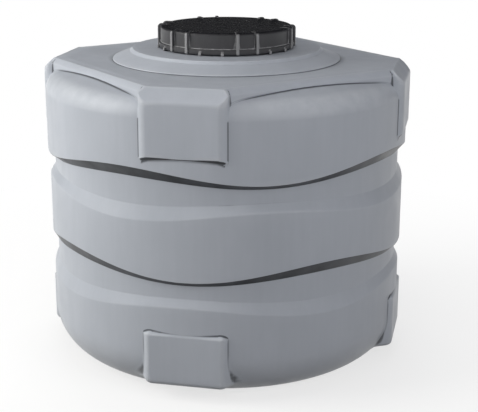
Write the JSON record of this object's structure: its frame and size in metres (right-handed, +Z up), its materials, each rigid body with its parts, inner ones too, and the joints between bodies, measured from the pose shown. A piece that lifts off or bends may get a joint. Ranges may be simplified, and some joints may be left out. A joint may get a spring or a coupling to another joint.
{
  "type": "underground tank",
  "caption": "Squat round underground rainwater tank with wavy stiffening grooves, a square deck with corner blocks and a screw lid on a central neck.",
  "frame": {"origin": "centre of the flat bottom, on the axis of the round body", "axes": "+Z up along the body's axis, -Y through the middle of the front corner block, +X through the middle of the right one"},
  "size_m": [1.204, 1.204, 1.0936],
  "materials": {
    "tank_plastic": "satin moulded polyethylene",
    "lid_plastic": "semi-gloss black moulding",
    "seal_rubber": "matt"
  },
  "bodies": {
    "tank": {"tank_body": "tank_plastic"},
    "seal": {"lid_seal": "seal_rubber"},
    "lid": {"screw_lid": "lid_plastic"}
  },
  "joints": [
    {"name": "lid_rise", "type": "slide", "parent": "tank", "child": "seal", "axis": [0, 0, 1], "range_m": [0, 0.024]},
    {"name": "lid_turn", "type": "hinge", "parent": "seal", "child": "lid", "pos_m": [0, 0, 1.05], "axis": [0, 0, 1], "range_deg": [0, 180]}
  ],
  "couplings": [
    {"joint": "lid_rise", "follows": "lid_turn", "m_per_rad": 0.0076394}
  ]
}
